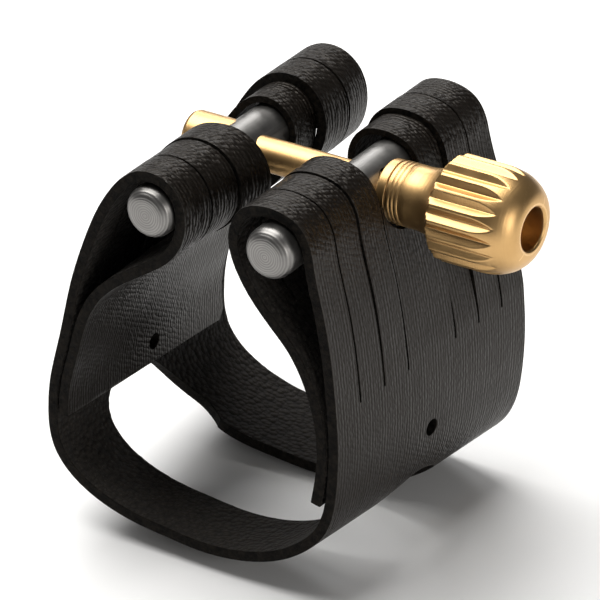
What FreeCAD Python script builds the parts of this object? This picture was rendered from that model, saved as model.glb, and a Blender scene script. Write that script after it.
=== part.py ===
import FreeCAD, Part
import math
import os

V = FreeCAD.Vector

# Strap ligature for a saxophone mouthpiece.
# One strip of coated fabric is bent into a loop.  Both ends are folded over a steel
# rod and bonded to the inside of the wall.  A brass bolt and thumb nut draw the two
# rods together.  Working frame: the bolt lies on X, the rods along Y, Z up, and the
# left rod's centre is at X = Z = 0.  Everything is moved at the end so that the
# origin is under the middle of the finished part, on the surface it stands on.

# Strip
BAND_W = 28.575           # width of the strip along the mouthpiece, 1 1/8 inch
BAND_T = 1.0              # thickness of the coated fabric
FLARE_X = 0.095           # the loop is wider at its back end than at its front end
FLARE_Z = 0.055           # and deeper
FLARE_MID_X = 3.3         # the flare grows from this line
SLIT_PITCH = BAND_W / 8   # the slits and the notch divide the width in eighths
SLIT_W = 0.24             # a slit stands open this much
HINGE_GAP = 0.16          # the strip is parted here so that the legs can swing
FLAP_GAP = 0.2            # glue line between a flap and its wall
HOLE_R = 0.8              # punched hole on the centre line of both walls
HOLE_Z = -22.6

# Rods
ROD_R = 2.38125           # 3/16 inch bar
ROD_GAP_X = 12.95         # distance between the two rod axes
ROD_EDGE = 1.1            # large rounded edge on each end
LEFT_ROD_Y = (-15.1, 14.3)
RIGHT_ROD_Y = (-16.0, 14.3)

# Bolt
SHANK_R = 1.55            # 1/8 inch shank
HEAD_R = 2.22             # plain cylinder head outside the left rod
HEAD_END_X = -5.35
HEAD_FACE_X = -2.05       # the head's seat is cut to the rod's curve
BOLT_END_X = 26.4         # hidden inside the nut
CROSS_HOLE_R = 1.8        # clearance hole through the right rod
THREAD_CREST = 0.10       # depth of the thread below the shank's surface

# Washer and thumb nut
SEAT_X = 15.41            # the washer starts just off the right rod
WASHER_L = 0.95
WASHER_R = 2.78
NECK_R = 2.82
NECK_END_X = 21.55        # back face of the fluted grip
GRIP_R = 4.7625           # 3/8 inch knob
GRIP_END_X = 29.8
DOME_START_X = 25.9
NUT_BORE_R = 1.95         # open end of the knob
NUT_BORE_X = 26.6         # the threaded length stops here
FLUTES = 20
FLUTE_DEPTH = 0.5
FLUTE_HALF_ANGLE = 47.0

# Centre line of the strip at its front edge, as (X, Z), from the bottom of the loop
# outwards.  Each leg goes up its wall, over its rod and down the flap.
BASE_LINE = [(-11.30, -20.15), (-11.65, -23.2), (-11.15, -26.9), (-9.5, -29.0),
             (-6.8, -30.6), (-3.0, -31.7), (0.2, -32.1), (3.7, -32.4), (7.2, -32.2),
             (9.9, -31.6), (12.6, -30.5), (14.8, -29.0), (16.6, -27.1),
             (17.35, -25.6)]
LEFT_WALL = [(-11.30, -20.15), (-10.55, -17.2), (-9.9, -14.9)]
LEFT_LOOP = [(-8.5, -9.6), (-6.8, -4.9), (-5.3, -1.6), (-3.7, 0.9), (-2.3, 2.4),
             (-0.6, 3.25), (1.1, 3.15), (2.45, 2.1), (3.0, 0.6), (2.95, -1.0),
             (2.3, -2.8), (1.2, -4.2), (-0.6, -5.6)]
LEFT_FLAP = [(-3.35, -7.45), (-6.4, -10.2), (-7.95, -13.0), (-9.2, -17.0),
             (-10.2, -20.6), (-10.45, -24.8)]
RIGHT_WALL = [(17.35, -25.6), (18.1, -22.0), (18.35, -18.0), (18.25, -14.9)]
RIGHT_LOOP = [(17.9, -10.3), (17.1, -5.2), (16.3, -1.2), (15.88, 1.0), (14.9, 2.5),
              (13.35, 3.15), (11.6, 3.2), (10.1, 2.7), (9.0, 1.4), (8.55, -0.4),
              (9.0, -2.5), (10.3, -4.9), (12.0, -7.0)]
RIGHT_FLAP = [(14.2, -9.4), (15.7, -12.0), (16.7, -15.2), (17.1, -18.6), (16.85, -21.6),
              (16.35, -24.2)]

# Straps between the slits: first eighth, last eighth, how far it stands proud, how much
# thinner it is pressed over the rod, and how far it bellies out at its front and back edge
LEFT_STRAPS = [(-4, -3, 0.03, 0, 0.0, 0.45), (-3, -2, 0.0, 0, 0.45, 0.9),
               (-2, -1, 0.12, 0, 0.9, 1.8), (1, 2, -0.10, 0.35, 0.0, 0.0),
               (2, 3, 0.32, 0, 0.3, 0.35), (3, 4, 0.30, 0, 0.35, 0.0)]
RIGHT_STRAPS = [(-4, -3, 0.03, 0, 0, 0), (-3, -2, 0.0, 0, 0, 0), (-2, -1, 0.10, 0, 0, 0),
                (1, 2, -0.05, 0.40, 0, 0), (2, 3, 0.05, 0.05, 0, 0), (3, 4, 0.0, 0.05, 0, 0)]
BELLY_AT, BELLY_HALF = 0.80, 0.178       # as fractions of a strap's length
LEFT_NOTCH_Z = -2.9       # bottom of the notch on the outside
RIGHT_NOTCH_Z = -3.22

# Window in the bottom of the loop, as (X, Y) seen from above, and its two pointed
# ends, as (Z, Y) seen from the side
WINDOW_PLAN = [(-12.9, -7.1), (13.5, -7.1), (16.0, -6.6), (20.0, -6.0), (20.0, 4.6),
               (16.0, 4.7), (12.0, 4.2), (7.0, 4.0), (-2.8, 3.8), (-6.3, 3.9),
               (-7.5, 4.7), (-9.2, 5.0), (-12.9, 4.9)]
LEFT_TIP = [(-27.6, -7.1), (-25.9, -6.5), (-22.9, -1.2), (-26.8, 2.65), (-28.5, 3.9),
            (-30.2, 4.8), (-30.2, -7.1)]
RIGHT_TIP = [(-28.6, -6.3), (-27.0, -0.6), (-26.95, 0.2), (-29.5, 4.7)]

# The left flap is cut narrower than the strip at its back edge, and its end slants
LEFT_FLAP_BACK_Y = 11.9
LEFT_FLAP_END = [(-15.0, -23.25), (15.0, -26.35)]      # (Y, Z)


def flare(x, z, y):
    """Move a point of the front edge to where it lies at the depth y."""
    t = (y + BAND_W / 2) / BAND_W
    wide = min(1.0, max(0.0, -z / 14.0))
    deep = min(1.0, max(0.0, -z / 20.0))
    return V(FLARE_MID_X + (x - FLARE_MID_X) * (1 + FLARE_X * wide * t), y,
             z * (1 + FLARE_Z * deep * t))


def curve_through(points):
    curve = Part.BSplineCurve()
    curve.interpolate([V(x, 0, z) for x, z in points])
    return curve


def stations(curve, first, last, lift=0.0, side=1.0, count=None, pressed=0.0, belly=0.0):
    """Points on both faces of the strip between two points of its centre line."""
    u0, u1 = curve.parameter(V(first[0], 0, first[1])), curve.parameter(V(last[0], 0, last[1]))
    if count is None:
        count = max(6, int(curve.length(u0, u1) / 0.9))
    faces = ([], [])
    for i in range(count + 1):
        f = i / count
        u = u0 + (u1 - u0) * f
        here, along = curve.value(u), curve.tangent(u)[0]
        across = V(along.z, 0, -along.x) * side
        swell = math.sin(math.pi * f) ** 0.5 if 0 < f < 1 else 0.0
        from_middle = max(-1.0, min(1.0, (f - BELLY_AT) / BELLY_HALF))
        out = lift * swell + belly * math.cos(math.pi / 2 * from_middle) ** 2
        for face, off in zip(faces, (BAND_T / 2 - pressed * swell, -BAND_T / 2)):
            p = here + across * (off + out)
            face.append((p.x, p.z))
    return faces


def strip_wire(faces, y):
    outer, inner = ([flare(x, z, y) for x, z in face] for face in faces)
    edges = []
    for pts in (outer, list(reversed(inner))):
        line = Part.BSplineCurve()
        line.interpolate(pts)
        edges.append(line.toShape())
    edges.insert(1, Part.makeLine(outer[-1], inner[-1]))
    edges.append(Part.makeLine(inner[0], outer[0]))
    return Part.Wire(edges)


def strip(faces, y0, y1, back_faces=None):
    ends = [strip_wire(faces, y0), strip_wire(back_faces or faces, y1)]
    solid = Part.makeLoft(ends, True, True)
    if solid.Volume < 0:
        solid.reverse()
    return solid


def prism(points, to_vector, along):
    """Close a polygon and push it along a vector."""
    ring = [to_vector(*p) for p in points]
    return Part.Face(Part.makePolygon(ring + ring[:1])).extrude(along)


def leg(prefix, wall, loop, flap, straps, side, notch_z, wall_x):
    """Wall, tongue, straps and flap of one side of the loop."""
    curve = curve_through(wall + loop + flap)
    half, slit = BAND_W / 2, SLIT_W / 2
    parts = {}
    parts[prefix + "_wall"] = strip(stations(curve, wall[0], wall[-1], 0, side), -half, half)
    parts[prefix + "_flap"] = strip(stations(curve, loop[-1], flap[-1], 0, side), -half, half)
    for n, (a, b, lift, pressed, front, back) in enumerate(straps, 1):
        y0 = a * SLIT_PITCH + (slit if a > -4 else 0)
        y1 = b * SLIT_PITCH - (slit if b < 4 else 0)
        edges = [stations(curve, wall[-1], loop[-1], lift, side, None, pressed, belly)
                 for belly in (front, back)]
        parts["%s_strap_%d" % (prefix, n)] = strip(edges[0], y0, y1, edges[1])
    y = SLIT_PITCH - slit
    tongue = strip(stations(curve, wall[-1], loop[2], 0, side), -y, y)
    notch = Part.makeCylinder(y - 0.1, 12, V(wall_x - 6, 0, notch_z + y - 0.1), V(1, 0, 0))
    above = Part.makeBox(12, 2 * y + 1, 8, V(wall_x - 6, -y - 0.5, notch_z + 2.6))
    parts[prefix + "_tongue"] = tongue.cut(notch).cut(above)
    return parts


def rod(x, y_span, hole_r):
    """Round bar with large rounded ends, cross-drilled for the bolt."""
    bar = Part.makeCylinder(ROD_R, y_span[1] - y_span[0], V(x, y_span[0], 0), V(0, 1, 0))
    ends = [e for e in bar.Edges if isinstance(e.Curve, Part.Circle)]
    bar = bar.makeFillet(ROD_EDGE, ends)
    return bar.cut(Part.makeCylinder(hole_r, 8, V(x - 4, 0, 0), V(1, 0, 0)))


def turned(profile):
    """Turn a closed (X, radius) profile about the bolt's axis."""
    ring = [V(x, 0, r) for x, r in profile]
    face = Part.Face(Part.makePolygon(ring + ring[:1]))
    return face.revolve(V(0, 0, 0), V(1, 0, 0), 360)


def thumb_nut():
    """Neck, concave shoulder, fluted grip and domed end in one turned piece."""
    start = SEAT_X + WASHER_L + 0.05
    dome = GRIP_END_X - DOME_START_X
    profile = [(start, SHANK_R + 0.03), (start, NECK_R - 0.15), (start + 0.15, NECK_R),
               (NECK_END_X - 2.2, NECK_R + 0.1)]
    for i in range(1, 8):
        a = math.radians(90.0 * i / 8)
        profile.append((NECK_END_X - 2.2 + 2.2 * math.sin(a),
                        NECK_R + 0.1 + 1.25 * (1 - math.cos(a))))
    profile += [(NECK_END_X, GRIP_R - 0.45), (NECK_END_X + 0.12, GRIP_R - 0.12),
                (NECK_END_X + 0.3, GRIP_R)]
    inner_r = NUT_BORE_R + 0.3
    for i in range(0, 13):
        a = math.radians(90.0 * i / 12)
        profile.append((DOME_START_X + dome * math.sin(a),
                        inner_r + (GRIP_R - inner_r) * math.cos(a)))
    profile += [(GRIP_END_X - 0.22, NUT_BORE_R), (NUT_BORE_X, NUT_BORE_R),
                (NUT_BORE_X - 0.4, SHANK_R + 0.03)]
    nut = turned(profile)
    reach = GRIP_R + 1.0
    w = (reach - GRIP_R + FLUTE_DEPTH) * math.tan(math.radians(FLUTE_HALF_ANGLE))
    root = GRIP_R - FLUTE_DEPTH
    vee = prism([(0, root), (w, reach), (-w, reach)],
                lambda y, z: V(NECK_END_X - 1.0, y, z), V(GRIP_END_X - NECK_END_X + 2, 0, 0))
    for n in range(FLUTES):
        cutter = vee.copy()
        cutter.rotate(V(0, 0, 0), V(1, 0, 0), 360.0 / FLUTES * n)
        nut = nut.cut(cutter)
    return nut


def build():
    half = BAND_W / 2
    parts = {}

    # Bottom of the loop: two corners and two rails round the window
    line = curve_through([(x, z) for x, z in BASE_LINE])
    u0 = line.parameter(V(BASE_LINE[0][0], 0, BASE_LINE[0][1]))
    u1 = line.parameter(V(BASE_LINE[-1][0], 0, BASE_LINE[-1][1]))
    first = line.value(u0 + (u1 - u0) * HINGE_GAP / line.length(u0, u1))
    last = line.value(u1 - (u1 - u0) * HINGE_GAP / line.length(u0, u1))
    base = strip(stations(line, (first.x, first.z), (last.x, last.z), 0, -1.0, 48),
                 -half, half)
    window = prism(WINDOW_PLAN, lambda x, y: V(x, y, -40), V(0, 0, 12.4))
    left_tip = prism(LEFT_TIP, lambda z, y: V(-16, y, z), V(8, 0, 0))
    right_tip = prism(RIGHT_TIP, lambda z, y: V(14, y, z), V(8, 0, 0))
    base = base.cut(window.fuse([left_tip, right_tip]))
    cells = {"band_left_corner": (-20, -8.4, -20, 20), "band_right_corner": (14.0, 30, -20, 20),
             "band_front_rail": (-8.4, 14.0, -20, -2), "band_back_rail": (-8.4, 14.0, -2, 20)}
    for name, (x0, x1, y0, y1) in cells.items():
        parts[name] = base.common(Part.makeBox(x1 - x0, y1 - y0, 60, V(x0, y0, -50)))

    # Two legs
    parts.update(leg("left", LEFT_WALL, LEFT_LOOP, LEFT_FLAP, LEFT_STRAPS, -1.0,
                     LEFT_NOTCH_Z, -7.5))
    parts.update(leg("right", RIGHT_WALL, RIGHT_LOOP, RIGHT_FLAP, RIGHT_STRAPS, 1.0,
                     RIGHT_NOTCH_Z, 17.5))
    punch = Part.makeCylinder(HOLE_R, 60, V(-25, 0, HOLE_Z), V(1, 0, 0))
    for name in ("band_left_corner", "left_flap", "right_wall", "right_flap"):
        parts[name] = parts[name].cut(punch)

    (y0, z0), (y1, z1) = LEFT_FLAP_END
    past_end = prism([(y0, z0), (y1, z1), (y1, -40), (y0, -40)], lambda y, z: V(-20, y, z),
                     V(20, 0, 0))
    past_back = prism([(LEFT_FLAP_BACK_Y, -16), (half + 1, -9), (half + 1, -40),
                       (LEFT_FLAP_BACK_Y, -40)], lambda y, z: V(-20, y, z), V(20, 0, 0))
    parts["left_flap"] = parts["left_flap"].cut(past_end).cut(past_back)

    # Rods, bolt, washer and nut
    parts["left_rod"] = rod(0, LEFT_ROD_Y, SHANK_R)
    parts["right_rod"] = rod(ROD_GAP_X, RIGHT_ROD_Y, CROSS_HOLE_R)
    head = turned([(HEAD_END_X, 0), (HEAD_END_X, HEAD_R - 0.4), (HEAD_END_X + 0.12, HEAD_R - 0.12),
                   (HEAD_END_X + 0.4, HEAD_R), (0, HEAD_R), (0, 0)])
    seat = Part.makeCylinder(ROD_R + 0.01, 12, V(0, -6, 0), V(0, 1, 0))
    parts["bolt_head"] = head.cut(seat)
    shank = [(-1.9, 0), (-1.9, SHANK_R), (ROD_GAP_X + 3.2, SHANK_R)]
    x, pitch = ROD_GAP_X + 3.2, 0.635
    while x + pitch < BOLT_END_X - 0.3:
        shank += [(x + pitch / 2, SHANK_R - THREAD_CREST), (x + pitch, SHANK_R)]
        x += pitch
    shank += [(BOLT_END_X, SHANK_R - 0.3), (BOLT_END_X, 0)]
    parts["bolt_shank"] = turned(shank).cut(Part.makeCompound([parts["bolt_head"]]))
    parts["washer"] = turned([(SEAT_X, SHANK_R + 0.05), (SEAT_X, WASHER_R - 0.1),
                              (SEAT_X + 0.1, WASHER_R), (SEAT_X + WASHER_L - 0.1, WASHER_R),
                              (SEAT_X + WASHER_L, WASHER_R - 0.1),
                              (SEAT_X + WASHER_L, SHANK_R + 0.05)])
    parts["thumb_nut"] = thumb_nut()
    return parts


os.makedirs("parts", exist_ok=True)
shapes = build()
box = Part.makeCompound(list(shapes.values())).optimalBoundingBox(False, False)
move = V(-(box.XMin + box.XMax) / 2, -(box.YMin + box.YMax) / 2, -box.ZMin)
print("move", round(move.x, 4), round(move.y, 4), round(move.z, 4))
for name, shape in shapes.items():
    solids = shape.Solids
    if len(solids) != 1 or not shape.isValid():
        print("look at", name, len(solids), shape.isValid())
    shape = solids[0] if len(solids) == 1 else shape
    shape.translate(move)
    shape.exportStep("parts/%s.step" % name)
    print(name, round(shape.Volume, 2))
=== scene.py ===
import math

import bpy
import numpy as np
from mathutils import Matrix, Vector, geometry


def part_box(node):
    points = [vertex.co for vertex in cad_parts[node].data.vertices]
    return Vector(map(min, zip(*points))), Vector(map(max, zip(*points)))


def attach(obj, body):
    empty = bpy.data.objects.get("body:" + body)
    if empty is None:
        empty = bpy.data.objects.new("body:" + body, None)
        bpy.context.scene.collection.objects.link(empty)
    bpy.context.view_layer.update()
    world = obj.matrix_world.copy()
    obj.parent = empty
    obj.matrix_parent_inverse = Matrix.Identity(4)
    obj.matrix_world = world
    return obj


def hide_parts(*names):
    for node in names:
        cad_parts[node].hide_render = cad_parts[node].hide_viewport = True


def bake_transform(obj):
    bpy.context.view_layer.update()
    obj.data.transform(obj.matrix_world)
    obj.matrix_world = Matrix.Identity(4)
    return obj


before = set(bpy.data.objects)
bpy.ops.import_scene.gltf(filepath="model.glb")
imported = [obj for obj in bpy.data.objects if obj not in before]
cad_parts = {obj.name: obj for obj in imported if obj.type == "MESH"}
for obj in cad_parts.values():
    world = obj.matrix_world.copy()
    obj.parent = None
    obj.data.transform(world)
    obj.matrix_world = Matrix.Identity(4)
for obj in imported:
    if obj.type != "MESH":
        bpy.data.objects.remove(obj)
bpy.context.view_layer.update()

# Strap ligature for a saxophone mouthpiece: a band of coated fabric folded over two
# steel rods, which a brass bolt and thumb nut draw together.
# Pieces are set out in millimetres from the middle of the left rod, with the bolt
# along X, the rods along Y and Z up, and every size is turned to metres by "spot".
rod_low, rod_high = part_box("left_rod")
zero = Vector(((rod_low[0] + rod_high[0]) / 2, (rod_low[1] + rod_high[1]) / 2 + 0.0004,
               (rod_low[2] + rod_high[2]) / 2))


def spot(x, y, z):
    return (zero.x + x * 0.001, zero.y + y * 0.001, zero.z + z * 0.001)


# ---------------------------------------------------------------- camera
# Long lens in front of the ligature, to the left of its middle and above it.
turn, tilt, roll = math.radians(34.099), math.radians(28.827), math.radians(-1.399)
level = Vector((math.cos(turn), math.sin(turn), 0))
ahead = Vector((-math.sin(turn) * math.cos(tilt), math.cos(turn) * math.cos(tilt),
                -math.sin(tilt)))
over = level.cross(ahead)
cam_x = level * math.cos(roll) + over * math.sin(roll)
cam_y = over * math.cos(roll) - level * math.sin(roll)
cam_z = -ahead
eye = Vector(spot(*(cam_x * 4.988 - cam_y * 13.441 + cam_z * 450)))
lens = bpy.data.cameras.new("camera")
lens.sensor_width = 36
lens.lens = 307.08
lens.clip_start, lens.clip_end = 0.01, 20
camera = bpy.data.objects.new("camera", lens)
camera.matrix_world = Matrix(((cam_x.x, cam_y.x, cam_z.x, eye.x),
                              (cam_x.y, cam_y.y, cam_z.y, eye.y),
                              (cam_x.z, cam_y.z, cam_z.z, eye.z), (0, 0, 0, 1)))
bpy.context.collection.objects.link(camera)
bpy.context.scene.camera = camera


# ---------------------------------------------------------------- floor and light
# Plain pale flat floor, an even pale room and three soft studio lamps: one overhead, one
# low on the right and one behind.
floor_mesh = bpy.data.meshes.new("floor")
floor_mesh.from_pydata([(-3, -3, 0), (3, -3, 0), (3, 3, 0), (-3, 3, 0)], [], [(0, 1, 2, 3)])
floor = bpy.data.objects.new("floor", floor_mesh)
bpy.context.collection.objects.link(floor)
pale = bpy.data.materials.new("pale_floor")
pale.use_nodes = True
shade = pale.node_tree.nodes["Principled BSDF"]
shade.inputs["Base Color"].default_value = (0.93, 0.93, 0.93, 1)
shade.inputs["Roughness"].default_value = 0.9
shade.inputs["Specular IOR Level"].default_value = 0.1
floor_mesh.materials.append(pale)

world = bpy.data.worlds.new("studio")
world.use_nodes = True
world.node_tree.nodes["Background"].inputs["Color"].default_value = (1, 1, 1, 1)
world.node_tree.nodes["Background"].inputs["Strength"].default_value = 0.10
bpy.context.scene.world = world
bpy.context.scene.view_settings.view_transform = "Standard"

for name, place, size, power, tint in (
        ("key_lamp", (-0.17, 0.03, 0.50), 0.50, 4.7, (1.0, 0.99, 0.97)),
        ("side_lamp", (0.46, -0.16, 0.14), 0.24, 0.75, (1.0, 0.98, 0.95)),
        ("back_lamp", (-0.28, 0.42, 0.30), 0.20, 0.6, (1.0, 1.0, 1.0))):
    lamp = bpy.data.lights.new(name, "AREA")
    lamp.shape, lamp.size, lamp.energy, lamp.color = "SQUARE", size, power, tint
    stand = bpy.data.objects.new(name, lamp)
    stand.location = place
    aim = Vector((0, 0, 0.02)) - Vector(place)
    stand.rotation_euler = aim.to_track_quat("-Z", "Y").to_euler()
    bpy.context.collection.objects.link(stand)


# ---------------------------------------------------------------- band
# One strip of coated fabric, a ribbed satin skin on a knitted back, die-cut flat with
# its window, slits, notches and holes.  It is bent into the loop, and each end goes
# over its rod and is bonded inside the wall.  Two halves meet under the loop.
BAND_W, BAND_T = 28.575, 1.0
FLAP_LEFT = [(-10.45, -24.8), (-10.2, -20.6), (-9.2, -17.0), (-7.95, -13.0), (-6.4, -10.2),
             (-3.35, -7.45)]
LOOP_LEFT = [(-0.6, -5.6), (1.2, -4.2), (2.3, -2.8), (2.95, -1.0), (3.0, 0.6), (2.45, 2.1),
             (1.1, 3.15), (-0.6, 3.25), (-2.3, 2.4), (-3.7, 0.9), (-5.3, -1.6), (-6.8, -4.9),
             (-8.5, -9.6)]
WALL_LEFT = [(-9.9, -14.9), (-10.55, -17.2)]
BOTTOM = [(-11.30, -20.15), (-11.65, -23.2), (-11.15, -26.9), (-9.5, -29.0), (-6.8, -30.6),
          (-3.0, -31.7), (0.2, -32.1), (3.7, -32.4), (7.2, -32.2), (9.9, -31.6), (12.6, -30.5),
          (14.8, -29.0), (16.6, -27.1), (17.35, -25.6)]
WALL_RIGHT = [(18.1, -22.0), (18.35, -18.0), (18.25, -14.9)]
LOOP_RIGHT = [(17.9, -10.3), (17.1, -5.2), (16.3, -1.2), (15.88, 1.0), (14.9, 2.5),
              (13.35, 3.15), (11.6, 3.2), (10.1, 2.7), (9.0, 1.4), (8.55, -0.4), (9.0, -2.5),
              (10.3, -4.9), (12.0, -7.0)]
FLAP_RIGHT = [(14.2, -9.4), (15.7, -12.0), (16.7, -15.2), (17.1, -18.6), (16.85, -21.6),
              (16.35, -24.2)]
FLARE_X, FLARE_Z, MIDDLE_X = 0.095, 0.055, 3.3
EIGHTH = BAND_W / 8
SLIT = 0.115              # half the width of a slit as it shows
SOFT = 0.07               # rounding of the cut edges
# For each eighth of the width: how far the strap stands proud, how much thinner it is
# pressed over its rod, and how far it bellies out at its front and back edge
LEFT_LIFT = [0.03, 0.0, 0.12, 0.0, 0.0, -0.10, 0.32, 0.30]
RIGHT_LIFT = [0.03, 0.0, 0.10, 0.0, 0.0, -0.05, 0.05, 0.0]
LEFT_BELLY = [(0, 0.45), (0.45, 0.9), (0.9, 1.8), (0, 0), (0, 0), (0, 0), (0.1, 0.35), (0.35, 0)]
RIGHT_BELLY = [(0, 0)] * 8
LEFT_PRESSED = [0, 0, 0, 0, 0, 0.35, 0, 0]
RIGHT_PRESSED = [0, 0, 0, 0, 0, 0.40, 0.05, 0.05]

# Centre line through those points as a smooth spline, with a table of lengths
knots = np.array(FLAP_LEFT + LOOP_LEFT + WALL_LEFT + BOTTOM + WALL_RIGHT + LOOP_RIGHT
                 + FLAP_RIGHT)
span = np.hypot(*np.diff(knots, axis=0).T)
count = len(knots)
rows, known = np.zeros((count, count)), np.zeros((count, 2))
rows[0, 0] = rows[-1, -1] = 1
for i in range(1, count - 1):
    rows[i, i - 1:i + 2] = span[i - 1], 2 * (span[i - 1] + span[i]), span[i]
    known[i] = 6 * ((knots[i + 1] - knots[i]) / span[i] - (knots[i] - knots[i - 1]) / span[i - 1])
bend = np.linalg.solve(rows, known)
line = []
for i in range(count - 1):
    h = span[i]
    for f in np.arange(0, 1, 1 / 24):
        a, b = 1 - f, f
        line.append(a * knots[i] + b * knots[i + 1]
                    + h * h / 6 * ((a ** 3 - a) * bend[i] + (b ** 3 - b) * bend[i + 1]))
line = np.array(line + [knots[-1]])
run = np.concatenate([[0], np.cumsum(np.hypot(*np.diff(line, axis=0).T))])
at_knot = run[::24]
tangent = np.gradient(line, run, axis=0)
tangent /= np.hypot(*tangent.T)[:, None]
curl = np.abs(np.gradient(np.unwrap(np.arctan2(tangent[:, 1], tangent[:, 0])), run))
curl = np.convolve(curl, np.ones(15) / 15, "same")
n_flap, n_loop, n_wall = len(FLAP_LEFT), len(LOOP_LEFT), len(WALL_LEFT)
crease_left, foot_left = at_knot[n_flap], at_knot[n_flap + n_loop]
n_right = n_flap + n_loop + n_wall + len(BOTTOM) + len(WALL_RIGHT)
foot_right, crease_right = at_knot[n_right - 1], at_knot[n_right + len(LOOP_RIGHT) - 1]
low = (line[:, 1] < -28) & (line[:, 0] > -8) & (line[:, 0] < 13)
seam = float(np.interp(MIDDLE_X, line[low, 0], run[low]))


def band_points(s, y, height):
    """Where points of the flat strip lie once it is bent, height above its middle."""
    x, z = np.interp(s, run, line[:, 0]), np.interp(s, run, line[:, 1])
    tx, tz = np.interp(s, run, tangent[:, 0]), np.interp(s, run, tangent[:, 1])
    size = np.hypot(tx, tz)
    column = np.clip((y / EIGHTH + 4).astype(int), 0, 7)
    within = y / EIGHTH + 4 - column
    for foot, crease, lift, pressed, belly in (
            (foot_left, crease_left, LEFT_LIFT, LEFT_PRESSED, LEFT_BELLY),
            (foot_right, crease_right, RIGHT_LIFT, RIGHT_PRESSED, RIGHT_BELLY)):
        f = np.clip((s - foot) / (crease - foot), 0, 1)
        up, down = np.clip(f / 0.3, 0, 1), np.clip((1 - f) / 0.12, 0, 1)
        swell = up * up * (3 - 2 * up) * down * down * (3 - 2 * down)
        height = height + swell * (np.array(lift)[column]
                                   - np.where(height > 0, np.array(pressed)[column], 0))
        front, back = np.array(belly)[column].T
        out = np.cos(math.pi / 2 * np.clip((f - 0.80) / 0.178, -1, 1)) ** 2
        height = height + out * (front + (back - front) * within)
    x, z = x + tz / size * height, z - tx / size * height
    t = (y + BAND_W / 2) / BAND_W
    wide, deep = np.clip(-z / 14, 0, 1), np.clip(-z / 20, 0, 1)
    x = MIDDLE_X + (x - MIDDLE_X) * (1 + FLARE_X * wide * t)
    z = z * (1 + FLARE_Z * deep * t)
    return np.stack([zero.x + x * 0.001, zero.y + y * 0.001, zero.z + z * 0.001], axis=1)


def along_at(value, y, part, axis):
    """Length along the strip where its centre line has that X (axis 0) or Z (axis 1)."""
    t = (y + BAND_W / 2) / BAND_W
    x, z = line[part, 0], line[part, 1]
    x = MIDDLE_X + (x - MIDDLE_X) * (1 + FLARE_X * np.clip(-z / 14, 0, 1) * t)
    z = z * (1 + FLARE_Z * np.clip(-z / 20, 0, 1) * t)
    coordinate, length = (x, z)[axis], run[part]
    order = np.argsort(coordinate)
    return float(np.interp(value, coordinate[order], length[order]))


left_side = (run > foot_left) & (run < seam) & (line[:, 0] < -4)
right_side = (run > seam) & (run < foot_right) & (line[:, 0] > 12)
# Window: from the pointed left end along the front rail to the right end, and back
front_edge = [(along_at(-22.9, -1.2, left_side, 1), -1.2),
              (along_at(-24.4, -4.1, left_side, 1), -4.1),
              (along_at(-25.9, -6.3, left_side, 1), -6.3),
              (along_at(-8.0, -7.1, low, 0), -7.1), (seam, -7.1),
              (along_at(12.0, -7.1, low, 0), -7.1),
              (along_at(-28.9, -6.5, right_side, 1), -6.5),
              (along_at(-27.2, -2.2, right_side, 1), -2.2)]
back_edge = [(along_at(-26.95, 0.2, right_side, 1), 0.2),
             (along_at(-28.6, 3.9, right_side, 1), 3.9),
             (along_at(14.6, 4.65, right_side, 0), 4.65), (along_at(12.0, 4.2, low, 0), 4.2),
             (along_at(7.0, 4.0, low, 0), 4.0), (seam, 3.95),
             (along_at(-2.8, 3.8, low, 0), 3.8), (along_at(-6.3, 3.85, low, 0), 3.85),
             (along_at(-6.7, 4.3, low, 0), 4.3), (along_at(-8.2, 5.05, left_side, 0), 5.05),
             (along_at(-30.7, 5.1, left_side, 1), 5.1),
             (along_at(-28.5, 4.0, left_side, 1), 4.0),
             (along_at(-26.5, 2.4, left_side, 1), 2.4)]
k_front = [p[0] for p in front_edge].index(seam)
k_back = [p[0] for p in back_edge].index(seam)


def rounded(points, times=2):
    """Cut the corners of an open line of points."""
    for _ in range(times):
        out = [points[0]]
        for p, q in zip(points, points[1:]):
            out += [(p[0] * 0.75 + q[0] * 0.25, p[1] * 0.75 + q[1] * 0.25),
                    (p[0] * 0.25 + q[0] * 0.75, p[1] * 0.25 + q[1] * 0.75)]
        points = out + [points[-1]]
    return points


def divided(points, step=0.34):
    """Closed outline with points no further apart than step."""
    out = []
    for p, q in zip(points, points[1:] + points[:1]):
        parts = max(1, math.ceil(math.dist(p, q) / step))
        out += [(p[0] + (q[0] - p[0]) * i / parts, p[1] + (q[1] - p[1]) * i / parts)
                for i in range(parts)]
    return out


def inside(points, loops):
    """Which points lie in the cloth, counting the outlines crossed on the way out."""
    x, y = points[:, 0], points[:, 1]
    odd = np.zeros(len(points), bool)
    for loop in loops:
        for (x0, y0), (x1, y1) in zip(loop, np.roll(loop, -1, axis=0)):
            if y0 != y1:
                odd ^= ((y0 > y) != (y1 > y)) & (x < x0 + (x1 - x0) * (y - y0) / (y1 - y0))
    return odd


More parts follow.
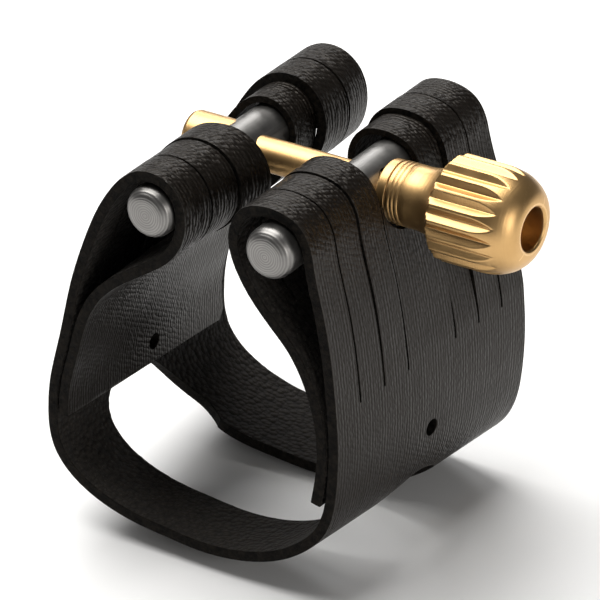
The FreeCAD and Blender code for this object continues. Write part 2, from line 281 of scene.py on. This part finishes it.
def half_band(name, sign, end, foot, crease, notch_z, hole_wall, hole_flap, wall):
    """Cut one half of the strip, bend it and give it both faces and its cut edges."""
    w = BAND_W / 2
    if sign < 0:
        window = rounded(back_edge[k_back:] + front_edge[:k_front + 1])
        outline = [(seam, w), (crease + 1, w), (crease - 3, w - 1.2), (13.5, 11.9),
                   (7.0, 11.2), (3.0, 11.7), (0.9, 11.9), (0.1, 11.3), (1.5, -w),
                   (seam, -w)] + window[::-1]
    else:
        window = rounded(front_edge[k_front:] + back_edge[:k_back + 1])
        outline = [(seam, -w), (end, -w), (end, w), (seam, w)] + window[::-1]
    loops = [outline]
    slit_ends = sorted((foot, crease))
    for k in (-3, -2, 2, 3):
        y = k * EIGHTH
        loops.append([(slit_ends[0], y - SLIT), (slit_ends[0], y + SLIT),
                      (slit_ends[1], y + SLIT), (slit_ends[1], y - SLIT)])
    # The notch for the bolt, with the tongue left standing between its two slits
    ring = EIGHTH - SLIT - 0.25
    bottom = along_at(notch_z, 0, wall, 1)
    top = bottom + sign * ring
    cup = [(top - (top - bottom) * math.cos(a), ring * math.sin(a))
           for a in np.linspace(-math.pi / 2, math.pi / 2, 13)]
    tip = top + (top - bottom) * 0.05
    side = EIGHTH + SLIT
    loops.append([(crease, -side), (foot, -side), (foot, -EIGHTH + SLIT), (tip, -EIGHTH + SLIT)]
                 + cup + [(tip, EIGHTH - SLIT), (foot, EIGHTH - SLIT), (foot, side),
                          (crease, side)])
    for s in (hole_wall, hole_flap):
        loops.append([(s + 0.8 * math.cos(a), 0.8 * math.sin(a))
                      for a in np.linspace(0, 2 * math.pi, 24, endpoint=False)])
    loops = [np.array(divided(loop)) for loop in loops]
    for i, loop in enumerate(loops):
        area = np.sum(loop[:, 0] * np.roll(loop[:, 1], -1) - loop[:, 1] * np.roll(loop[:, 0], -1))
        if (area > 0) != (i == 0):
            loops[i] = loop[::-1]
    # How each point of an outline moves when the edge is taken in by one unit
    moves = []
    for loop in loops:
        edge = np.roll(loop, -1, axis=0) - loop
        edge /= np.hypot(*edge.T)[:, None]
        out = np.stack([edge[:, 1], -edge[:, 0]], axis=1)
        middle = (loop + np.roll(loop, -1, axis=0)) / 2
        share = np.where(np.abs(middle[:, 0] - seam) < 1e-6, 0.0, 1.0)
        before, before_share = np.roll(out, 1, axis=0), np.roll(share, 1)
        move = np.zeros_like(loop)
        for i in range(len(loop)):
            if abs(before[i] @ out[i]) > 0.96:
                move[i] = (before[i] + out[i]) / 2 * min(share[i], before_share[i])
            else:
                move[i] = np.linalg.solve([before[i], out[i]], [before_share[i], share[i]])
        moves.append(move)
    ease = [SOFT if i in (0, 6, 7) else 0.02 for i in range(len(loops))]
    taken_in = [loop - move * e for loop, move, e in zip(loops, moves, ease)]
    edge_points = np.concatenate(taken_in)
    s0, s1 = min(seam, end), max(seam, end)
    grid = np.array([(s, y + (0.25 if i % 2 else 0)) for i, s in enumerate(np.arange(s0, s1, 0.4))
                     for y in np.arange(-w, w, 0.5)])
    grid = grid[inside(grid, taken_in)]
    near = np.array([np.min(np.sum((edge_points - p) ** 2, axis=1)) for p in grid])
    grid = grid[near > 0.2 ** 2]
    flat = np.concatenate([edge_points, grid])
    starts = np.cumsum([0] + [len(loop) for loop in loops])
    edges = [(a + i, a + (i + 1) % (b - a)) for a, b in zip(starts, starts[1:])
             for i in range(b - a)]
    out_points, _, faces, sources, _, _ = geometry.delaunay_2d_cdt(
        [Vector(p) for p in flat], edges, [], 0, 1e-5)
    points = np.array([tuple(p) for p in out_points])
    where = {source: i for i, group in enumerate(sources) for source in group}
    faces = np.array([f for f in faces if len(f) == 3])
    faces = faces[inside(points[faces].mean(axis=1), taken_in)]
    a, b, c = (points[faces[:, i]] for i in range(3))
    signed = (b[:, 0] - a[:, 0]) * (c[:, 1] - a[:, 1]) - (b[:, 1] - a[:, 1]) * (c[:, 0] - a[:, 0])
    faces[signed < 0] = faces[signed < 0][:, ::-1]
    n = len(points)
    strip = [points[:, 0], points[:, 1], np.full(n, BAND_T / 2)]
    strip = [np.concatenate([v, v2]) for v, v2 in zip(strip, strip)]
    strip[2][n:] *= -1
    polygons = [tuple(f[::-1]) for f in faces] + [tuple(f + n) for f in faces]
    finish = [0] * len(faces) + [1] * len(faces)
    # Cut edges, from the coated face down to the knitted one
    profile = [(0.3, 0.3), (0.0, 1.0), (-0.15, 5.0), (0.1, -5.0), (0.15, -1.0), (0.45, -0.3)]
    rng = np.random.default_rng(7 if sign < 0 else 8)
    total = 2 * n
    fringe = [np.zeros(0)] * 3
    for loop, move, start, soft in zip(loops, moves, starts, ease):
        m = len(loop)
        ids = [np.array([where[start + i] for i in range(m)])]
        for k, (back, down) in enumerate(profile):
            height = BAND_T / 2 - down * soft if down > 0 else -BAND_T / 2 - down * soft
            shake = rng.normal(0, 0.02 if k >= 3 else 0.006, m) * (soft == SOFT)
            p = loop - move * (back * soft + shake[:, None])
            fringe = [np.concatenate([v, u]) for v, u in
                      zip(fringe, (p[:, 0], p[:, 1], np.full(m, height)))]
            ids.append(np.arange(total, total + m))
            total += m
        ids.append(ids[0] + n)
        for k in range(len(ids) - 1):
            p, q = ids[k], ids[k + 1]
            for i in range(m):
                j = (i + 1) % m
                polygons.append((p[i], p[j], q[j], q[i]))
                finish.append(0 if k == 0 else 2)
    strip = [np.concatenate([v, u]) for v, u in zip(strip, fringe)]
    mesh = bpy.data.meshes.new(name)
    mesh.from_pydata(band_points(strip[0], strip[1], strip[2]).tolist(), [],
                     [tuple(int(v) for v in f) for f in polygons])
    mesh.polygons.foreach_set("material_index", finish)
    mesh.validate()
    uv = mesh.uv_layers.new(name="strip")
    corner = np.zeros(len(mesh.loops), int)
    mesh.loops.foreach_get("vertex_index", corner)
    uv.data.foreach_set("uv", np.stack([strip[0][corner], strip[1][corner]], axis=1).ravel())
    rim = loops[0][np.abs(loops[0][:, 0] - seam) > 1e-6]
    wear = np.array([math.sqrt(np.min((rim[:, 0] - s) ** 2 + (rim[:, 1] - y) ** 2))
                     for s, y in zip(strip[0], strip[1])])
    mesh.attributes.new("edge_mm", "FLOAT", "POINT").data.foreach_set("value", wear)
    mesh.attributes.new("bend", "FLOAT", "POINT").data.foreach_set(
        "value", np.interp(strip[0], run, curl))
    mesh.shade_smooth()
    mesh.set_sharp_from_angle(angle=math.radians(18))
    piece = bpy.data.objects.new(name, mesh)
    bpy.context.collection.objects.link(piece)
    cut_area = float(np.abs(signed).sum() / 2) * 1e-6
    return piece, cut_area


# Holes are punched through wall and flap together
left_wall_part = (run > crease_left) & (run < seam) & (line[:, 0] < 0) & (run > foot_left - 16)
right_wall_part = (run > seam) & (run < foot_right + 16) & (line[:, 0] > 12)
band_left, area_left = half_band(
    "band_left", -1, 0.0, foot_left, crease_left, -2.9,
    along_at(-22.6, 0, left_side, 1), along_at(-22.6, 0, run < crease_left, 1), left_wall_part)
band_right, area_right = half_band(
    "band_right", 1, float(run[-1]), foot_right, crease_right, -3.22,
    along_at(-22.6, 0, right_side, 1), along_at(-22.6, 0, run > crease_right, 1),
    right_wall_part)

# Coated face: satin skin with fine ribs along the strip, a weave pressed through it,
# worn lighter at the cut edges
coat = bpy.data.materials.new("coated_face")
coat.use_nodes = True
tree = coat.node_tree
shade = tree.nodes["Principled BSDF"]
place = tree.nodes.new("ShaderNodeUVMap")
place.uv_map = "strip"
ribs = tree.nodes.new("ShaderNodeTexWave")
ribs.wave_type, ribs.bands_direction = "BANDS", "Y"
ribs.inputs["Scale"].default_value = 0.85
ribs.inputs["Distortion"].default_value = 3.0
ribs.inputs["Detail"].default_value = 2
ribs.inputs["Detail Scale"].default_value = 2.2
tree.links.new(place.outputs["UV"], ribs.inputs["Vector"])
part = tree.nodes.new("ShaderNodeSeparateXYZ")
tree.links.new(place.outputs["UV"], part.inputs[0])
row = tree.nodes.new("ShaderNodeMath")
row.operation = "MULTIPLY"
row.inputs[1].default_value = 2.2
tree.links.new(part.outputs["Y"], row.inputs[0])
lean = tree.nodes.new("ShaderNodeMath")
lean.operation = "MULTIPLY"
lean.inputs[1].default_value = 1.1
tree.links.new(part.outputs["Y"], lean.inputs[0])
across = tree.nodes.new("ShaderNodeMath")
across.operation = "MULTIPLY_ADD"
across.inputs[1].default_value = 1.9
tree.links.new(part.outputs["X"], across.inputs[0])
tree.links.new(lean.outputs[0], across.inputs[2])
joined = tree.nodes.new("ShaderNodeCombineXYZ")
tree.links.new(across.outputs[0], joined.inputs["X"])
tree.links.new(row.outputs[0], joined.inputs["Y"])
weave = tree.nodes.new("ShaderNodeTexVoronoi")
weave.inputs["Scale"].default_value = 1.0
weave.inputs["Randomness"].default_value = 0.45
tree.links.new(joined.outputs[0], weave.inputs["Vector"])
cloud = tree.nodes.new("ShaderNodeTexNoise")
cloud.inputs["Scale"].default_value = 0.35
cloud.inputs["Detail"].default_value = 4
tree.links.new(place.outputs["UV"], cloud.inputs["Vector"])
edge = tree.nodes.new("ShaderNodeAttribute")
edge.attribute_name = "edge_mm"
curve = tree.nodes.new("ShaderNodeAttribute")
curve.attribute_name = "bend"
rub = tree.nodes.new("ShaderNodeMapRange")
rub.inputs["From Min"].default_value, rub.inputs["From Max"].default_value = 0.05, 0.45
rub.inputs["To Min"].default_value, rub.inputs["To Max"].default_value = 1, 0
tree.links.new(edge.outputs["Fac"], rub.inputs["Value"])
tone = tree.nodes.new("ShaderNodeMix")
tone.data_type = "RGBA"
tone.inputs["A"].default_value = (0.0032, 0.0022, 0.0015, 1)
tone.inputs["B"].default_value = (0.0066, 0.0050, 0.0038, 1)
tree.links.new(cloud.outputs["Fac"], tone.inputs["Factor"])
worn = tree.nodes.new("ShaderNodeMix")
worn.data_type = "RGBA"
worn.inputs["B"].default_value = (0.013, 0.0115, 0.010, 1)
tree.links.new(rub.outputs["Result"], worn.inputs["Factor"])
tree.links.new(tone.outputs["Result"], worn.inputs["A"])
tree.links.new(worn.outputs["Result"], shade.inputs["Base Color"])
gloss = tree.nodes.new("ShaderNodeMapRange")
gloss.inputs["To Min"].default_value, gloss.inputs["To Max"].default_value = 0.33, 0.52
tree.links.new(cloud.outputs["Fac"], gloss.inputs["Value"])
tree.links.new(gloss.outputs["Result"], shade.inputs["Roughness"])
shade.inputs["Specular IOR Level"].default_value = 0.21
shade.inputs["Specular Tint"].default_value = (1.0, 0.90, 0.80, 1)
both = tree.nodes.new("ShaderNodeMath")
both.operation = "MULTIPLY_ADD"
both.inputs[1].default_value = -3.4
tree.links.new(weave.outputs["Distance"], both.inputs[0])
tree.links.new(ribs.outputs["Fac"], both.inputs[2])
depth = tree.nodes.new("ShaderNodeMapRange")
depth.inputs["From Min"].default_value, depth.inputs["From Max"].default_value = 0.03, 0.30
depth.inputs["To Min"].default_value, depth.inputs["To Max"].default_value = 0.35, 1.0
tree.links.new(curve.outputs["Fac"], depth.inputs["Value"])
longer = tree.nodes.new("ShaderNodeMapping")
longer.inputs["Scale"].default_value = (0.55, 1.35, 1)
tree.links.new(place.outputs["UV"], longer.inputs["Vector"])
wrinkle = tree.nodes.new("ShaderNodeTexNoise")
wrinkle.inputs["Scale"].default_value = 1.0
wrinkle.inputs["Detail"].default_value = 2.5
wrinkle.inputs["Distortion"].default_value = 0.5
tree.links.new(longer.outputs["Vector"], wrinkle.inputs["Vector"])
folds = tree.nodes.new("ShaderNodeMapRange")
folds.inputs["From Min"].default_value, folds.inputs["From Max"].default_value = 0.05, 0.25
tree.links.new(curve.outputs["Fac"], folds.inputs["Value"])
crumple = tree.nodes.new("ShaderNodeBump")
crumple.inputs["Distance"].default_value = 0.00028
tree.links.new(folds.outputs["Result"], crumple.inputs["Strength"])
tree.links.new(wrinkle.outputs["Fac"], crumple.inputs["Height"])
relief = tree.nodes.new("ShaderNodeBump")
relief.inputs["Distance"].default_value = 0.00005
tree.links.new(depth.outputs["Result"], relief.inputs["Strength"])
tree.links.new(both.outputs[0], relief.inputs["Height"])
tree.links.new(crumple.outputs["Normal"], relief.inputs["Normal"])
tree.links.new(relief.outputs["Normal"], shade.inputs["Normal"])

# Knitted back: matt brown-black loops with specks of lint, and painted shade darkening the
# hollows between the loops
knit = bpy.data.materials.new("knitted_back")
knit.use_nodes = True
tree = knit.node_tree
shade = tree.nodes["Principled BSDF"]
place = tree.nodes.new("ShaderNodeUVMap")
place.uv_map = "strip"
knit_loops_and_gap_shade = tree.nodes.new("ShaderNodeTexVoronoi")
knit_loops_and_gap_shade.inputs["Scale"].default_value = 1.75
knit_loops_and_gap_shade.inputs["Randomness"].default_value = 0.7
tree.links.new(place.outputs["UV"], knit_loops_and_gap_shade.inputs["Vector"])
fuzz = tree.nodes.new("ShaderNodeTexNoise")
fuzz.inputs["Scale"].default_value = 6.0
fuzz.inputs["Detail"].default_value = 5
tree.links.new(place.outputs["UV"], fuzz.inputs["Vector"])
lint = tree.nodes.new("ShaderNodeMapRange")
lint.inputs["From Min"].default_value, lint.inputs["From Max"].default_value = 0.60, 0.70
tree.links.new(fuzz.outputs["Fac"], lint.inputs["Value"])
# Painted shade: the colour runs from the loops' middles into much darker hollows between them
tone = tree.nodes.new("ShaderNodeMix")
tone.data_type = "RGBA"
tone.inputs["A"].default_value = (0.020, 0.0160, 0.0120, 1)
tone.inputs["B"].default_value = (0.0026, 0.0018, 0.0013, 1)
tree.links.new(knit_loops_and_gap_shade.outputs["Distance"], tone.inputs["Factor"])
speck = tree.nodes.new("ShaderNodeMix")
speck.data_type = "RGBA"
speck.inputs["B"].default_value = (0.055, 0.05, 0.046, 1)
tree.links.new(lint.outputs["Result"], speck.inputs["Factor"])
tree.links.new(tone.outputs["Result"], speck.inputs["A"])
tree.links.new(speck.outputs["Result"], shade.inputs["Base Color"])
rough = tree.nodes.new("ShaderNodeMapRange")
rough.inputs["To Min"].default_value, rough.inputs["To Max"].default_value = 0.75, 1.0
tree.links.new(fuzz.outputs["Fac"], rough.inputs["Value"])
tree.links.new(rough.outputs["Result"], shade.inputs["Roughness"])
shade.inputs["Specular IOR Level"].default_value = 0.30
relief = tree.nodes.new("ShaderNodeBump")
relief.inputs["Strength"].default_value = 1.0
relief.inputs["Distance"].default_value = 0.00040
relief.invert = True
tree.links.new(knit_loops_and_gap_shade.outputs["Distance"], relief.inputs["Height"])
tree.links.new(relief.outputs["Normal"], shade.inputs["Normal"])

# Cut edge: the two layers seen end on, dark grey and slightly ragged
cut = bpy.data.materials.new("cut_edge")
cut.use_nodes = True
tree = cut.node_tree
shade = tree.nodes["Principled BSDF"]
shade.inputs["Specular IOR Level"].default_value = 0.08
where_at = tree.nodes.new("ShaderNodeTexCoord")
grain = tree.nodes.new("ShaderNodeTexNoise")
grain.inputs["Scale"].default_value = 2200
grain.inputs["Detail"].default_value = 6
grain.inputs["Roughness"].default_value = 0.65
tree.links.new(where_at.outputs["Object"], grain.inputs["Vector"])
tone = tree.nodes.new("ShaderNodeMix")
tone.data_type = "RGBA"
tone.inputs["A"].default_value = (0.0012, 0.0009, 0.0006, 1)
tone.inputs["B"].default_value = (0.013, 0.0105, 0.0080, 1)
fibre = tree.nodes.new("ShaderNodeMapRange")
fibre.inputs["From Min"].default_value, fibre.inputs["From Max"].default_value = 0.40, 0.66
tree.links.new(grain.outputs["Fac"], fibre.inputs["Value"])
tree.links.new(fibre.outputs["Result"], tone.inputs["Factor"])
tree.links.new(tone.outputs["Result"], shade.inputs["Base Color"])
rough = tree.nodes.new("ShaderNodeMapRange")
rough.inputs["To Min"].default_value, rough.inputs["To Max"].default_value = 0.6, 0.95
tree.links.new(grain.outputs["Fac"], rough.inputs["Value"])
tree.links.new(rough.outputs["Result"], shade.inputs["Roughness"])
relief = tree.nodes.new("ShaderNodeBump")
relief.inputs["Strength"].default_value = 0.9
relief.inputs["Distance"].default_value = 0.00022
tree.links.new(grain.outputs["Fac"], relief.inputs["Height"])
tree.links.new(relief.outputs["Normal"], shade.inputs["Normal"])

base_nodes = ["band_left_corner", "band_right_corner", "band_front_rail", "band_back_rail"]
for piece, side, length, area in ((band_left, "left", seam, area_left),
                                  (band_right, "right", float(run[-1]) - seam, area_right)):
    for material in (coat, knit, cut):
        piece.data.materials.append(material)
    x = -11.95 if side == "left" else 18.0
    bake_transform(piece)
    mine = [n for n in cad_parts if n.startswith(side + "_") and not n.endswith("_rod")]
    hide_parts(*mine, *base_nodes)


# ---------------------------------------------------------------- rods
# Two steel bars with large rounded ends, faced and chamfered in the lathe, so fine
# rings show on the end faces.  They lie loose in the folds and are cross-drilled.
for name in ("left_rod", "right_rod"):
    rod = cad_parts[name]
    low_corner, high_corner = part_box(name)
    steel = bpy.data.materials.new(name + "_steel")
    steel.use_nodes = True
    tree = steel.node_tree
    shade = tree.nodes["Principled BSDF"]
    where_at = tree.nodes.new("ShaderNodeTexCoord")
    centre = tree.nodes.new("ShaderNodeMapping")
    centre.inputs["Location"].default_value = (-(low_corner[0] + high_corner[0]) / 2, 0,
                                               -(low_corner[2] + high_corner[2]) / 2)
    tree.links.new(where_at.outputs["Object"], centre.inputs["Vector"])
    rings = tree.nodes.new("ShaderNodeTexWave")
    rings.wave_type, rings.rings_direction = "RINGS", "Y"
    rings.inputs["Scale"].default_value = 1400
    rings.inputs["Distortion"].default_value = 0.8
    rings.inputs["Detail"].default_value = 2
    tree.links.new(centre.outputs["Vector"], rings.inputs["Vector"])
    scuff = tree.nodes.new("ShaderNodeTexNoise")
    scuff.inputs["Scale"].default_value = 900
    scuff.inputs["Detail"].default_value = 5
    tree.links.new(centre.outputs["Vector"], scuff.inputs["Vector"])
    tone = tree.nodes.new("ShaderNodeMix")
    tone.data_type = "RGBA"
    tone.inputs["A"].default_value = (0.17, 0.165, 0.16, 1)
    tone.inputs["B"].default_value = (0.34, 0.33, 0.315, 1)
    turning = tree.nodes.new("ShaderNodeMath")
    turning.operation = "MULTIPLY"
    tree.links.new(rings.outputs["Fac"], turning.inputs[0])
    tree.links.new(scuff.outputs["Fac"], turning.inputs[1])
    tree.links.new(turning.outputs[0], tone.inputs["Factor"])
    corners = tree.nodes.new("ShaderNodeNewGeometry")
    rub = tree.nodes.new("ShaderNodeMapRange")
    rub.inputs["From Min"].default_value, rub.inputs["From Max"].default_value = 0.58, 0.72
    tree.links.new(corners.outputs["Pointiness"], rub.inputs["Value"])
    worn = tree.nodes.new("ShaderNodeMix")
    worn.data_type = "RGBA"
    worn.inputs["B"].default_value = (0.48, 0.47, 0.45, 1)
    tree.links.new(rub.outputs["Result"], worn.inputs["Factor"])
    tree.links.new(tone.outputs["Result"], worn.inputs["A"])
    tree.links.new(worn.outputs["Result"], shade.inputs["Base Color"])
    shade.inputs["Metallic"].default_value = 1
    rough = tree.nodes.new("ShaderNodeMapRange")
    rough.inputs["To Min"].default_value, rough.inputs["To Max"].default_value = 0.30, 0.50
    tree.links.new(scuff.outputs["Fac"], rough.inputs["Value"])
    tree.links.new(rough.outputs["Result"], shade.inputs["Roughness"])
    relief = tree.nodes.new("ShaderNodeBump")
    relief.inputs["Strength"].default_value = 0.6
    relief.inputs["Distance"].default_value = 0.00002
    tree.links.new(rings.outputs["Fac"], relief.inputs["Height"])
    tree.links.new(relief.outputs["Normal"], shade.inputs["Normal"])
    rod.data.materials.clear()
    rod.data.materials.append(steel)


# ---------------------------------------------------------------- brass finish and turning
# Bolt, washer and nut are turned from brass bar: fine tool rings round the axis, a
# golden tone that varies a little, and edges rubbed a little brighter.
brass = bpy.data.materials.new("turned_brass")
brass.use_nodes = True
tree = brass.node_tree
shade = tree.nodes["Principled BSDF"]
where_at = tree.nodes.new("ShaderNodeTexCoord")
squeeze = tree.nodes.new("ShaderNodeMapping")
squeeze.inputs["Scale"].default_value = (1, 0.04, 0.04)
tree.links.new(where_at.outputs["Object"], squeeze.inputs["Vector"])
marks = tree.nodes.new("ShaderNodeTexNoise")
marks.inputs["Scale"].default_value = 6500
marks.inputs["Detail"].default_value = 3
tree.links.new(squeeze.outputs["Vector"], marks.inputs["Vector"])
cloud = tree.nodes.new("ShaderNodeTexNoise")
cloud.inputs["Scale"].default_value = 420
cloud.inputs["Detail"].default_value = 4
tree.links.new(where_at.outputs["Object"], cloud.inputs["Vector"])
tone = tree.nodes.new("ShaderNodeMix")
tone.data_type = "RGBA"
tone.inputs["A"].default_value = (0.50, 0.30, 0.12, 1)
tone.inputs["B"].default_value = (0.70, 0.45, 0.20, 1)
tree.links.new(cloud.outputs["Fac"], tone.inputs["Factor"])
corners = tree.nodes.new("ShaderNodeNewGeometry")
rub = tree.nodes.new("ShaderNodeMapRange")
rub.inputs["From Min"].default_value, rub.inputs["From Max"].default_value = 0.58, 0.72
tree.links.new(corners.outputs["Pointiness"], rub.inputs["Value"])
worn = tree.nodes.new("ShaderNodeMix")
worn.data_type = "RGBA"
worn.inputs["B"].default_value = (0.76, 0.51, 0.25, 1)
tree.links.new(rub.outputs["Result"], worn.inputs["Factor"])
tree.links.new(tone.outputs["Result"], worn.inputs["A"])
tree.links.new(worn.outputs["Result"], shade.inputs["Base Color"])
shade.inputs["Metallic"].default_value = 1
rough = tree.nodes.new("ShaderNodeMapRange")
rough.inputs["To Min"].default_value, rough.inputs["To Max"].default_value = 0.27, 0.48
tree.links.new(cloud.outputs["Fac"], rough.inputs["Value"])
tree.links.new(rough.outputs["Result"], shade.inputs["Roughness"])
relief = tree.nodes.new("ShaderNodeBump")
relief.inputs["Strength"].default_value = 0.55
relief.inputs["Distance"].default_value = 0.00003
tree.links.new(marks.outputs["Fac"], relief.inputs["Height"])
tree.links.new(relief.outputs["Normal"], shade.inputs["Normal"])


def turned(name, profile, around, reach=None):
    """Turn a line of (X, radius) about the bolt's axis.  reach trims the radius."""
    angles = np.linspace(0, 2 * math.pi, around, endpoint=False)
    points, ring_of, faces = [], [], []
    for x, r in profile:
        if r < 1e-6:
            ring_of.append([len(points)] * around)
            points.append(spot(x, 0, 0))
            continue
        ring_of.append(list(range(len(points), len(points) + around)))
        for a in angles:
            q = r if reach is None else reach(x, r, a)
            points.append(spot(x, q * math.sin(a), q * math.cos(a)))
    for p, q in zip(ring_of, ring_of[1:]):
        for i in range(around):
            j = (i + 1) % around
            face = list(dict.fromkeys((p[i], p[j], q[j], q[i])))
            if len(face) > 2:
                faces.append(face)
    mesh = bpy.data.meshes.new(name)
    mesh.from_pydata(points, [], faces)
    mesh.shade_smooth()
    mesh.set_sharp_from_angle(angle=math.radians(38))
    mesh.materials.append(brass)
    piece = bpy.data.objects.new(name, mesh)
    bpy.context.collection.objects.link(piece)
    return piece


def filleted(points, steps=5):
    """(X, radius, rounding) corners to a line with each corner rounded."""
    out = []
    for i, (x, r, fillet) in enumerate(points):
        here = Vector((x, r))
        if fillet == 0 or i in (0, len(points) - 1):
            out.append((x, r))
            continue
        back = (Vector(points[i - 1][:2]) - here)
        on = (Vector(points[i + 1][:2]) - here)
        size = min(fillet, back.length * 0.49, on.length * 0.49)
        p, q = here + back.normalized() * size, here + on.normalized() * size
        for k in range(steps + 1):
            t = k / steps
            v = p * (1 - t) ** 2 + here * 2 * t * (1 - t) + q * t * t
            out.append((v.x, v.y))
    return out


# ---------------------------------------------------------------- bolt
# Brass bolt with a plain round head, its seat cut to the left rod's curve.  Head and
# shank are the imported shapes, which already carry the thread.
for name in ("bolt_head", "bolt_shank"):
    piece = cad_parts[name]
    piece.data.materials.clear()
    piece.data.materials.append(brass)


# ---------------------------------------------------------------- washer
# Turned brass ring between the right rod and the nut, slightly rounded on both faces.
# It slides on the bolt and does not turn with the nut.
WASHER_X, WASHER_L, WASHER_R, WASHER_BORE = 15.41, 0.95, 2.78, 1.6
washer = turned("washer_ring", filleted([
    (WASHER_X, WASHER_BORE, 0), (WASHER_X, WASHER_R, 0.16),
    (WASHER_X + WASHER_L, WASHER_R, 0.16), (WASHER_X + WASHER_L, WASHER_BORE, 0),
    (WASHER_X, WASHER_BORE, 0)]), 128)
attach(washer, "washer")
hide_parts("washer")


# ---------------------------------------------------------------- thumb nut
# Brass nut turned in one piece: a long neck, a concave shoulder, a grip with twenty
# V flutes that run out in the domed end, and a plain bore that shows in that end.
GRIP_X, GRIP_R, GRIP_END, DOME_X = 21.55, 4.7625, 29.8, 25.9
NECK_X, NECK_R, BORE_R, BORE_X = 16.41, 2.82, 1.95, 26.6
FLUTES, FLUTE_DEPTH, FLUTE_TAN = 20, 0.5, math.tan(math.radians(52))
profile = filleted([(NECK_X, 1.58, 0), (NECK_X, NECK_R, 0.15), (NECK_X + 0.3, NECK_R, 0)])
for x in (NECK_X + 0.45, NECK_X + 0.85, NECK_X + 1.3):
    profile += filleted([(x, NECK_R, 0), (x + 0.07, NECK_R - 0.045, 0.04), (x + 0.14, NECK_R, 0)])
for i in range(0, 15):
    a = math.radians(90 * i / 15)
    profile.append((GRIP_X - 3.0 + 3.0 * math.sin(a), NECK_R + 1.35 * (1 - math.cos(a))))
profile += filleted([(GRIP_X, GRIP_R - 0.62, 0), (GRIP_X + 0.02, GRIP_R - 0.35, 0.12),
                     (GRIP_X + 0.35, GRIP_R, 0.2), (GRIP_X + 0.6, GRIP_R, 0)])
profile += [(GRIP_X + 0.6 + (DOME_X - GRIP_X - 0.6) * i / 14, GRIP_R) for i in range(1, 14)]
dome, mouth = GRIP_END - DOME_X, BORE_R + 0.3
for i in range(0, 46):
    a = math.radians(90 * i / 45)
    profile.append((DOME_X + dome * math.sin(a), mouth + (GRIP_R - mouth) * math.cos(a)))
profile += filleted([(GRIP_END, mouth, 0), (GRIP_END - 0.02, BORE_R + 0.14, 0.05),
                     (GRIP_END - 0.2, BORE_R, 0.08), (GRIP_END - 0.5, BORE_R, 0)])
profile += [(GRIP_END - 1.2, BORE_R), (GRIP_END - 2.2, BORE_R), (BORE_X, BORE_R),
            (BORE_X - 0.4, 1.58), (NECK_X, 1.58)]


def fluted(x, r, a):
    """Radius where the V flutes cut the turned shape, with crest and root eased."""
    if x < GRIP_X - 0.001 or r < BORE_R + 0.2:
        return r
    pitch = 2 * math.pi / FLUTES
    off = abs((a + pitch / 2) % pitch - pitch / 2)
    off = math.sqrt(off * off + 0.012 ** 2) - 0.012 * 0.4
    cut_r = (GRIP_R - FLUTE_DEPTH) / (math.cos(off) - math.sin(off) / FLUTE_TAN)
    ease = 0.05
    mix = max(0.0, ease - abs(r - cut_r)) / ease
    return min(r, cut_r) - mix * mix * ease / 4


nut = turned("thumb_nut_turned", profile, FLUTES * 24, fluted)
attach(nut, "thumb_nut")
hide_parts("thumb_nut")
